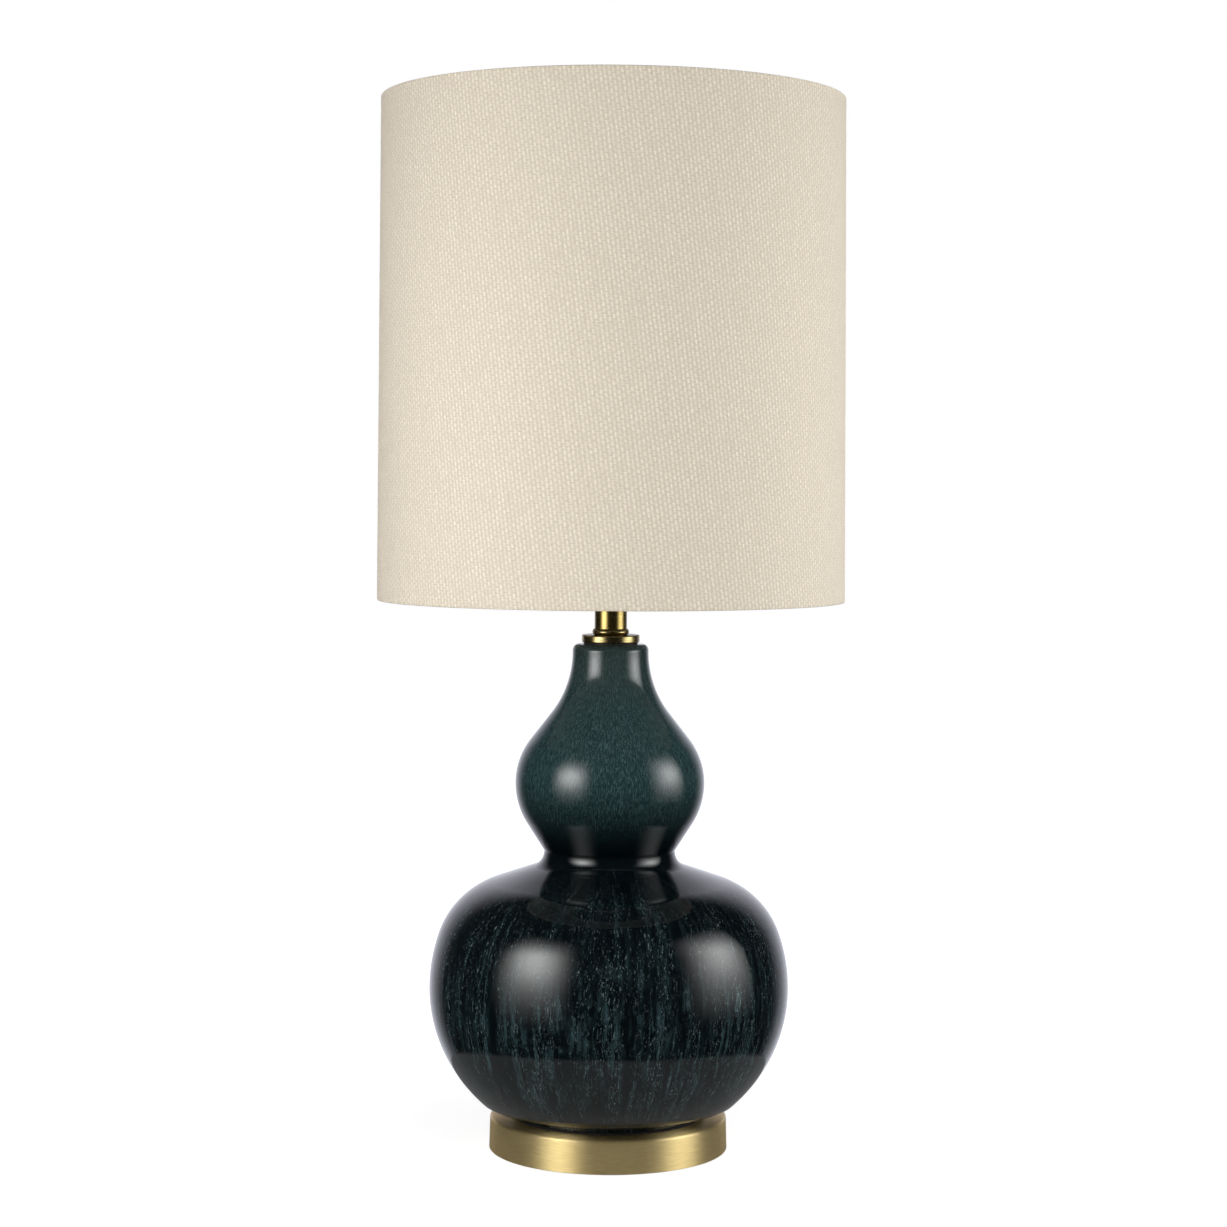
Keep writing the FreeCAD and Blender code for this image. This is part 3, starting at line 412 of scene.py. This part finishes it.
hardboard, tree, shader = finish("hardboard")
spot = node(tree, "TexCoord", output=3)
chips = noise(tree, spot, 700.0, 6.0, 0.7)
tint = blend(tree, chips, (0.13, 0.075, 0.038), (0.26, 0.16, 0.085))
paint(tree, shader, tint, fade(tree, chips, 0.3, 0.7, 0.55, 0.8))
bump(tree, shader, chips, 0.4, 0.0002)
dress(hardboard, "bottom_board")

# ---- Cord inlet ---------------------------------------------------------------------------------
# A black moulded bushing snaps into the hole in the plinth's rear wall and keeps the cord off the
# metal's edge.


def moulded(name, colour, scuffed, roughness, grain_size):
    """Moulded plastic or rubber: a fine grain, and scuffs that are paler and duller."""
    material, tree, shader = finish(name)
    spot = node(tree, "TexCoord", output=3)
    grain = noise(tree, spot, 1 / grain_size, 3.0, 0.6)
    scuffs = fade(tree, noise(tree, spot, 160.0, 5.0, 0.7), 0.52, 0.78)
    tint = blend(tree, scuffs, colour, scuffed)
    paint(tree, shader, tint, fade(tree, scuffs, 0.0, 1.0, roughness, roughness + 0.2))
    bump(tree, shader, grain, 0.3, 0.00005)
    return material


nylon = moulded("black_nylon", (0.012, 0.012, 0.013), (0.04, 0.04, 0.042), 0.38, 0.0006)
dress(nylon, "cord_bushing")

# ---- Body ---------------------------------------------------------------------------------------
# A double gourd of stoneware, slip cast hollow and dipped in a dark glaze. Teal crystals have run
# down the belly in drips, and lie as a fine even speckle over the upper bulb and the neck.

rubber = moulded("black_rubber", (0.010, 0.010, 0.010), (0.03, 0.03, 0.03), 0.6, 0.0009)
dress(rubber, "foot_gasket", "cap_gasket")


def crossing_tangent(first, first_r, second, second_r, side):
    """The angle at the first circle of the straight line that passes between it and the second."""
    across, up = second[0] - first[0], second[1] - first[1]
    apart = math.hypot(across, up)
    return math.atan2(up, across) + side * math.acos((first_r + second_r) / apart)


belly_r, belly_level = 0.1178, 0.1062
underside_rise, foot_drop = 0.1056, 0.0757
side_r, shoulder_r, side_turn = 0.108, 0.0555, math.radians(19.6)
waist_r, waist_level, waist_low_r, waist_top_r = 0.0429, 0.1961, 0.011, 0.002
upper_r, upper_level, upper_low_r, upper_top_r = 0.0619, 0.2408, 0.0491, 0.0466
neck_r, neck_level, neck_curve_r = 0.0248, 0.32695, 0.0655
half_turn = math.pi


def gourd_line(wall, fineness):
    """The gourd's outline from its underside to its mouth, a wall in from the glaze. Its underside
    is part of an ellipse, and the rest are arcs that run into each other or into straight lines."""
    inward = side_r - shoulder_r
    side = (belly_r - side_r, belly_level)
    shoulder = (side[0] + inward * math.cos(side_turn), side[1] + inward * math.sin(side_turn))
    waist_low = (waist_r + waist_low_r, waist_level)
    waist_top = (waist_r + waist_top_r, waist_level)
    lower = (upper_r - upper_low_r, upper_level)
    upper = (upper_r - upper_top_r, upper_level)
    neck = (neck_r + neck_curve_r, neck_level)
    slope = crossing_tangent(shoulder, shoulder_r, waist_low, waist_low_r, -1)
    lower_ogee = crossing_tangent(lower, upper_low_r, waist_top, waist_top_r, 1)
    upper_ogee = crossing_tangent(upper, upper_top_r, neck, neck_curve_r, -1)
    points = []
    foot_turn = math.asin(foot_drop / (underside_rise - wall))
    for step in range(14 * fineness + 1):
        turn = foot_turn * (1 - step / (14 * fineness))
        level = belly_level - (underside_rise - wall) * math.sin(turn)
        points.append(((belly_r - wall) * math.cos(turn), level))
    points += arc(side, side_r - wall, 0, side_turn, 5 * fineness)
    points += arc(shoulder, shoulder_r - wall, side_turn, slope, 12 * fineness)
    points += arc(waist_low, waist_low_r + wall, slope + half_turn, half_turn, 6 * fineness)
    points += arc(waist_top, waist_top_r + wall, half_turn, lower_ogee + half_turn, 2 * fineness)
    points += arc(lower, upper_low_r - wall, lower_ogee, 0, 8 * fineness)
    points += arc(upper, upper_top_r - wall, 0, upper_ogee, 8 * fineness)
    points += arc(neck, neck_curve_r + wall, upper_ogee + half_turn, half_turn, 10 * fineness)
    return points


body_wall, cavity_low, cavity_high = 0.0055, 0.0365, 0.324
outside = gourd_line(0.0, 3)
inside = [spot for spot in gourd_line(body_wall, 1) if cavity_low < spot[1] < cavity_high]
foot = millimetres((56, 24.2), (56.7, 23.5), (62.3, 23.5), (63, 24.2), (63.2, 29.8), (64, 30.5))
# The underside begins beyond the small fillet that joins it to the foot.
edge = outside[0]
outside = [spot for spot in outside if spot[0] > edge[0] + 0.0015 or spot[1] > 0.1]
rim = arc((0.0208, 0.328), 0.004, 0, math.pi / 2, 8)
mouth = millimetres((12, 332), (11.3, 331.7), (11, 331), (11, 324))
bottom = [(inside[0][0], cavity_low)] + millimetres((8, 36.5), (8, 30.5), (56, 30.5)) + foot[:1]
fillet = [(edge[0] - 0.002, 0.0305), (edge[0] - 0.0005, 0.0308)]
body_line = foot + fillet + outside + [(neck_r, 0.328)] + rim
body_line += mouth + [(inside[-1][0], cavity_high)] + inside[::-1] + bottom
gourd = turned("glazed_gourd", body_line, 192)
unroll(gourd, body_line, belly_r)

glaze, tree, shader = finish("dark_teal_glaze")
spot = node(tree, "TexCoord", output=3)
level = node(tree, "SeparateXYZ", spot, output=2)
run = node(tree, "SeparateXYZ", node(tree, "UVMap", uv_map="unrolled"), output=1)
flat = node(tree, "VectorMath", spot, (1, 1, 0), operation="MULTIPLY")
facing = node(tree, "VectorMath", flat, operation="NORMALIZE")
wobble = product(tree, maths(tree, "SUBTRACT", noise(tree, spot, 75.0, 3.0, 0.6), 0.5), 0.03)


def drips(width, length, detail, roughness):
    """Noise drawn out down the glaze: the drips' usual width and length on the belly."""
    down = node(tree, "CombineXYZ", 0.0, 0.0, product(tree, run, width / (length * belly_r)))
    along_it = node(tree, "VectorMath", facing, down, operation="ADD")
    wandering = node(tree, "VectorMath", along_it, wobble, operation="ADD")
    return noise(tree, wandering, belly_r / width, detail, roughness)


belly_share = fade(tree, level, 0.200, 0.160)
upper_share = fade(tree, level, 0.198, 0.255)
neck_share = fade(tree, level, 0.285, 0.325)
low_belly = fade(tree, level, 0.165, 0.085)
clouds = noise(tree, spot, 22.0, 2.0, 0.5)
runs = drips(0.0100, 0.070, 4.0, 0.65)
streaks = drips(0.0032, 0.024, 5.0, 0.7)
hairs = drips(0.0013, 0.015, 3.0, 0.6)
dashes = drips(0.0011, 0.0034, 3.0, 0.7)
grain = noise(tree, spot, 1000.0, 2.0, 0.6)
cluster = fade(tree, runs, 0.28, 0.62)
dark = blend(tree, upper_share, (0.0010, 0.0026, 0.0034), (0.0085, 0.0240, 0.0255))
# Painted reflection: up the neck the ground is painted greyer and lighter, standing in for the grey
# veil that the gloss shows there.
dark = blend(tree, neck_share, dark, (0.020, 0.033, 0.030))
lower = maths(tree, "ADD", 0.40, product(tree, low_belly, 0.60))
soft = product(tree, fade(tree, streaks, 0.42, 0.76), cluster, belly_share, lower)
streaked = blend(tree, soft, dark, (0.034, 0.066, 0.072))
fine = product(tree, fade(tree, hairs, 0.58, 0.74), low_belly, fade(tree, runs, 0.36, 0.60))
haired = blend(tree, product(tree, fine, 0.65), streaked, (0.085, 0.140, 0.150))
dots = product(tree, fade(tree, dashes, 0.53, 0.74), fade(tree, grain, 0.35, 0.65))
sparse = product(tree, dots, fade(tree, runs, 0.33, 0.66), belly_share)
dotted = blend(tree, sparse, haired, (0.21, 0.285, 0.28))
mottle = product(tree, fade(tree, dashes, 0.40, 0.74), fade(tree, grain, 0.30, 0.62, 0.35, 1.0))
even = product(tree, mottle, upper_share, 0.85)
speckled = blend(tree, even, dotted, (0.072, 0.125, 0.122))
duller = product(tree, neck_share, 0.07)
dulled = maths(tree, "ADD", fade(tree, clouds, 0.3, 0.7, 0.045, 0.085), duller)
paint(tree, shader, speckled, dulled)
shader.inputs["IOR"].default_value = 1.52
relief = maths(tree, "ADD", noise(tree, spot, 60.0, 2.0, 0.4), product(tree, streaks, 0.3))
bump(tree, shader, relief, 0.12, 0.0006)
gourd.data.materials.append(glaze)
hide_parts("gourd_body")
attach(gourd, "lamp_body")

# ---- Neck ---------------------------------------------------------------------------------------
# A flat turned cap closes the body's mouth. A half-round bead stands on it, and a plain tube of
# brass on that, with a washer on its top. All slide over the rod and are clamped by its nuts.

bright, dull = (0.45, 0.36, 0.155), (0.32, 0.25, 0.10)
antique_brass = turned_metal("antique_brass", bright, dull, 0.20, 0.32, 0.00003, 0.2)
dress(antique_brass, "vase_cap", "check_ring")
bright, dull = (0.36, 0.265, 0.075), (0.26, 0.185, 0.05)
tube_brass = turned_metal("tube_brass", bright, dull, 0.24, 0.34, 0.00003, 0.5)
dress(tube_brass, "neck_tube", "neck_washer")

# ---- Rod and harp -------------------------------------------------------------------------------
# The threaded rod runs from the plinth to the socket. A bent strip on it holds the harp, a bow of
# drawn wire whose legs are locked by two sliding sleeves. A stud turns in the eye at its crown.


def drawn_wire(name, bright, dull, smooth, rough):
    """Plated wire or strip, with faint scratches and dull patches that follow no axis."""
    material, tree, shader = finish(name)
    spot = node(tree, "TexCoord", output=3)
    scratches = noise(tree, spot, 1500.0, 4.0, 0.7)
    patches = noise(tree, spot, 90.0, 4.0, 0.6)
    share = fade(tree, patches, 0.35, 0.65)
    tint = blend(tree, share, dull, bright)
    paint(tree, shader, tint, fade(tree, scratches, 0.3, 0.7, smooth, rough))
    shader.inputs["Metallic"].default_value = 1.0
    bump(tree, shader, scratches, 0.15, 0.00004)
    return material


plated = drawn_wire("plated_brass", (0.66, 0.53, 0.28), (0.50, 0.39, 0.19), 0.18, 0.32)
dress(plated, "harp_saddle", "saddle_nut", "harp_bow", "harp_stud")
dress(plated, "harp_sleeve_left", "harp_sleeve_right")
rod_zinc = turned_metal("rod_zinc", (0.62, 0.64, 0.66), (0.45, 0.46, 0.48), 0.3, 0.5, 0.0002)
dress(rod_zinc, "threaded_rod")

# ---- Socket -------------------------------------------------------------------------------------
# A drawn brass cap and shell snap together round a card liner. The moulded core inside carries the
# screw shell, the centre contact and two terminal screws, and the turn key's shaft comes out of it.

bright, dull = (0.66, 0.53, 0.28), (0.52, 0.41, 0.20)
shell_brass = turned_metal("shell_brass", bright, dull, 0.2, 0.32, 0.00003)
dress(shell_brass, "socket_cap", "socket_shell")
steel = drawn_wire("zinc_steel", (0.62, 0.64, 0.66), (0.46, 0.47, 0.49), 0.28, 0.45)
dress(steel, "socket_set_screw", "switch_shaft")
terminals = drawn_wire("terminal_brass", (0.68, 0.54, 0.28), (0.55, 0.42, 0.20), 0.25, 0.4)
dress(terminals, "terminal_screws", "centre_contact")
bakelite = moulded("bakelite", (0.014, 0.012, 0.011), (0.035, 0.03, 0.028), 0.28, 0.0005)
dress(bakelite, "socket_core", "switch_knob")

card, tree, shader = finish("liner_card")
spot = node(tree, "TexCoord", output=3)
pulp = noise(tree, spot, 1200.0, 5.0, 0.7)
tint = blend(tree, pulp, (0.36, 0.28, 0.19), (0.50, 0.41, 0.30))
paint(tree, shader, tint, fade(tree, pulp, 0.3, 0.7, 0.75, 0.95))
bump(tree, shader, pulp, 0.4, 0.0001)
dress(card, "socket_liner")


def rolled_thread(material, pitch):
    """A lamp's coarse round thread, pressed into thin metal."""
    tree = material.node_tree
    place = node(tree, "SeparateXYZ", node(tree, "TexCoord", output=3)).node
    turn = maths(tree, "ARCTAN2", place.outputs[1], place.outputs[0])
    rise = product(tree, place.outputs[2], math.tau / pitch)
    wave = maths(tree, "SINE", maths(tree, "SUBTRACT", rise, turn))
    bump(tree, tree.nodes["Principled BSDF"], wave, 1.0, 0.0004)


pale, dull = (0.80, 0.80, 0.80), (0.62, 0.62, 0.63)
pressed = turned_metal("pressed_aluminium", pale, dull, 0.25, 0.4, 0.00003)
lamp_thread_pitch = 0.003629
rolled_thread(pressed, lamp_thread_pitch)
dress(pressed, "screw_shell")

# ---- Bulb ---------------------------------------------------------------------------------------
# A frosted glass globe cemented into a threaded cap of nickel-plated brass. A ring of black glass
# insulates the soldered contact at its foot.

frosted, tree, shader = finish("frosted_glass")
spot = node(tree, "TexCoord", output=3)
frost = noise(tree, spot, 1500.0, 4.0, 0.7)
tint = blend(tree, frost, (0.86, 0.87, 0.87), (0.94, 0.94, 0.93))
paint(tree, shader, tint, fade(tree, frost, 0.3, 0.7, 0.22, 0.38))
shader.inputs["Transmission Weight"].default_value = 0.35
shader.inputs["IOR"].default_value = 1.5
bump(tree, shader, frost, 0.1, 0.00003)
dress(frosted, "bulb_glass")
nickel = turned_metal("nickel_plate", (0.70, 0.67, 0.61), (0.55, 0.52, 0.47), 0.2, 0.34, 0.00003)
rolled_thread(nickel, lamp_thread_pitch)
dress(nickel, "bulb_cap")
solder = drawn_wire("solder", (0.60, 0.60, 0.61), (0.42, 0.42, 0.43), 0.35, 0.5)
dress(solder, "bulb_contact")
black_glass = moulded("black_glass", (0.006, 0.006, 0.009), (0.02, 0.02, 0.024), 0.12, 0.002)
dress(black_glass, "bulb_insulator")

# ---- Shade --------------------------------------------------------------------------------------
# Slub basket weave laid on a stiff white styrene lining and rolled into a drum, lapped and glued in
# one seam at the back. Its edges are turned in over the two wire rings. The spider hangs it.

shade_low, shade_high = 0.3604, 0.6849
shade_r, narrower = 0.1524, 0.0022  # at the lower rim, and how much less at the upper one
cloth_thickness, turned_in = 0.0008, 0.0017  # the turned-in part's middle, in from the face
wire_thickness, wire_room = 0.0032, 0.0003
wire_in, wire_down = 0.0032, 0.0027  # the wire's middle, in from the face and from the edge
hem_middle, hem_end = 0.0055, 0.011  # from the wire's middle


def shade_face(z):
    """The cloth's outside radius at a height."""
    return shade_r - narrower * (z - shade_low) / (shade_high - shade_low)


def hem_line(end):
    """The middle of the cloth from its outside round one wire ring to the turned-in edge."""
    wrap_r = wire_thickness / 2 + wire_room + cloth_thickness / 2
    edge_z = shade_high if end > 0 else shade_low
    wire_z = edge_z - end * wire_down
    wire_r = shade_face(wire_z) - wire_in
    corner = (shade_face(edge_z) - cloth_thickness, edge_z - end * cloth_thickness)
    inner = shade_face(wire_z) - turned_in
    points = [(shade_face(edge_z) - cloth_thickness / 2, edge_z - end * 0.0014)]
    points += arc(corner, cloth_thickness / 2, 0, end * math.pi / 2, 3)
    points += [((corner[0] + wire_r) / 2, edge_z - end * cloth_thickness / 2)]
    points += arc((wire_r, wire_z), wrap_r, end * math.pi / 2 * 0.98, end * math.pi, 6)
    points += [(wire_r - wrap_r, wire_z - end * wire_thickness / 2)]
    points += [(inner, wire_z - end * hem_middle), (inner, wire_z - end * hem_end)]
    return points


wall_rows, hem = 24, 0.003
tall = shade_high - shade_low - 2 * hem
wall = [shade_low + hem + tall * row / wall_rows for row in range(wall_rows + 1)]
straight = [(shade_face(z) - cloth_thickness / 2, z) for z in wall]
cloth_line = hem_line(-1)[::-1] + straight + hem_line(1)
cloth = turned("shade_cloth", cloth_line, 256)
unroll(cloth, cloth_line, shade_r)

# The cloth's end lies over its beginning: a strip of it is doubled and its one edge turned out.
lap, lap_lift, rear = 0.0095, 0.00095, 0.12
for cut in (-lap / 2, lap / 2):
    for face in cloth.data.polygons:
        face.select = face.center.y > rear
    bpy.ops.object.mode_set(mode="EDIT")
    bpy.ops.mesh.select_mode(type="FACE")
    bpy.ops.mesh.bisect(plane_co=(cut, 0, 0), plane_no=(1, 0, 0))
    bpy.ops.mesh.select_all(action="DESELECT")
    bpy.ops.object.mode_set(mode="OBJECT")
for face in cloth.data.polygons:
    outer = math.hypot(face.center.x, face.center.y) > shade_face(face.center.z) - 0.001
    face.select = outer and face.center.y > rear and abs(face.center.x) < lap / 2
bpy.ops.object.mode_set(mode="EDIT")
bpy.ops.mesh.duplicate()
hinge = (-lap / 2, 0.1518, 0.52)
bpy.ops.transform.rotate(value=-lap_lift / lap, orient_axis="Z", center_override=hinge)
bpy.ops.object.mode_set(mode="OBJECT")
bpy.ops.object.modifier_add(type="SOLIDIFY")
cloth.modifiers[-1].thickness = cloth_thickness
cloth.modifiers[-1].offset = 0.0
bpy.ops.object.modifier_apply(modifier=cloth.modifiers[-1].name)

column_pitch, row_pitch, lean = 0.0027, 0.0036, math.radians(7.8)
weave, tree, shader = finish("slub_basket_weave")
flat = node(tree, "UVMap", uv_map="unrolled")
round_way = node(tree, "SeparateXYZ", flat, output=0)
up_way = node(tree, "SeparateXYZ", flat, output=1)
astray = maths(tree, "SUBTRACT", noise(tree, flat, 110.0, 4.0, 0.75), 0.5)
wander = product(tree, astray, 0.0014)
aside = product(tree, up_way, math.tan(lean))
leaning = maths(tree, "ADD", maths(tree, "ADD", round_way, wander), aside)
column = maths(tree, "DIVIDE", leaning, column_pitch)
column_number = maths(tree, "FLOOR", column)
odd = product(tree, maths(tree, "MODULO", column_number, 2.0), 0.5)
chance = node(tree, "TexWhiteNoise", None, column_number, noise_dimensions="1D")
shift = maths(tree, "ADD", odd, product(tree, chance, 0.18))
rising = maths(tree, "DIVIDE", maths(tree, "ADD", up_way, wander), row_pitch)
row = maths(tree, "ADD", rising, shift)
across_float = maths(tree, "ABSOLUTE", maths(tree, "SUBTRACT", maths(tree, "FRACT", column), 0.5))
along_float = maths(tree, "ABSOLUTE", maths(tree, "SUBTRACT", maths(tree, "FRACT", row), 0.5))
ridge = product(tree, fade(tree, across_float, 0.36, 0.04), fade(tree, along_float, 0.5, 0.26))


def fibres_along(per_metre_round, per_metre_up, detail, roughness):
    """Noise on the unrolled cloth, finer one way than the other."""
    scale = (per_metre_round, per_metre_up, 0)
    scaled = node(tree, "VectorMath", flat, scale, operation="MULTIPLY")
    return noise(tree, scaled, 1.0, detail, roughness)


strands = fibres_along(1500, 420, 4.0, 0.7)
weft = fibres_along(300, 1300, 3.0, 0.6)
slubs = fibres_along(300, 14, 3.0, 0.6)
one_float = node(tree, "CombineXYZ", column_number, maths(tree, "FLOOR", row))
float_tone = node(tree, "TexWhiteNoise", one_float, noise_dimensions="2D")
# Painted light in the weave: the floats are painted lighter along their middles as a painted
# highlight, and the ground between them darker as painted shade in the gaps. The noise in each
# colour and each float's own tone belong to the yarns.
ground_and_gap_shade = blend(tree, fade(tree, weft, 0.3, 0.7), (0.54, 0.472, 0.372), (0.665, 0.595, 0.487))
yarn_and_float_highlight = blend(tree, fade(tree, strands, 0.3, 0.7), (0.68, 0.610, 0.495), (0.90, 0.830, 0.700))
float_highlight_share = product(tree, ridge, fade(tree, float_tone, 0.0, 0.9, 0.60, 1.0))
woven = blend(tree, float_highlight_share, ground_and_gap_shade, yarn_and_float_highlight)
slubbed = blend(tree, fade(tree, slubs, 0.45, 0.75, 0.0, 0.25), woven, (0.60, 0.53, 0.42))
paint(tree, shader, slubbed, fade(tree, strands, 0.2, 0.8, 0.6, 0.9))
shader.inputs["Specular IOR Level"].default_value = 0.25
shader.inputs["Sheen Weight"].default_value = 0.08
height = maths(tree, "ADD", ridge, product(tree, maths(tree, "ADD", strands, weft), 0.4))
bump(tree, shader, height, 0.4, 0.0005)
cloth.data.materials.append(weave)
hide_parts("shade_fabric")
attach(cloth, "shade")

styrene, tree, shader = finish("styrene_lining")
spot = node(tree, "TexCoord", output=3)
sheet_grain = noise(tree, spot, 700.0, 3.0, 0.6)
tint = blend(tree, sheet_grain, (0.80, 0.79, 0.76), (0.86, 0.85, 0.82))
paint(tree, shader, tint, fade(tree, sheet_grain, 0.3, 0.7, 0.45, 0.6))
bump(tree, shader, sheet_grain, 0.15, 0.00005)
dress(styrene, "shade_liner")
dress(plated, "shade_top_ring", "shade_bottom_ring", "shade_spider")

# ---- Finial -------------------------------------------------------------------------------------
# A turned brass knob on a tapered collar, with one blind bore up through both. The pair screws down
# the stud and holds the shade's hub on the harp.

dress(shell_brass, "finial_base", "finial_knob")
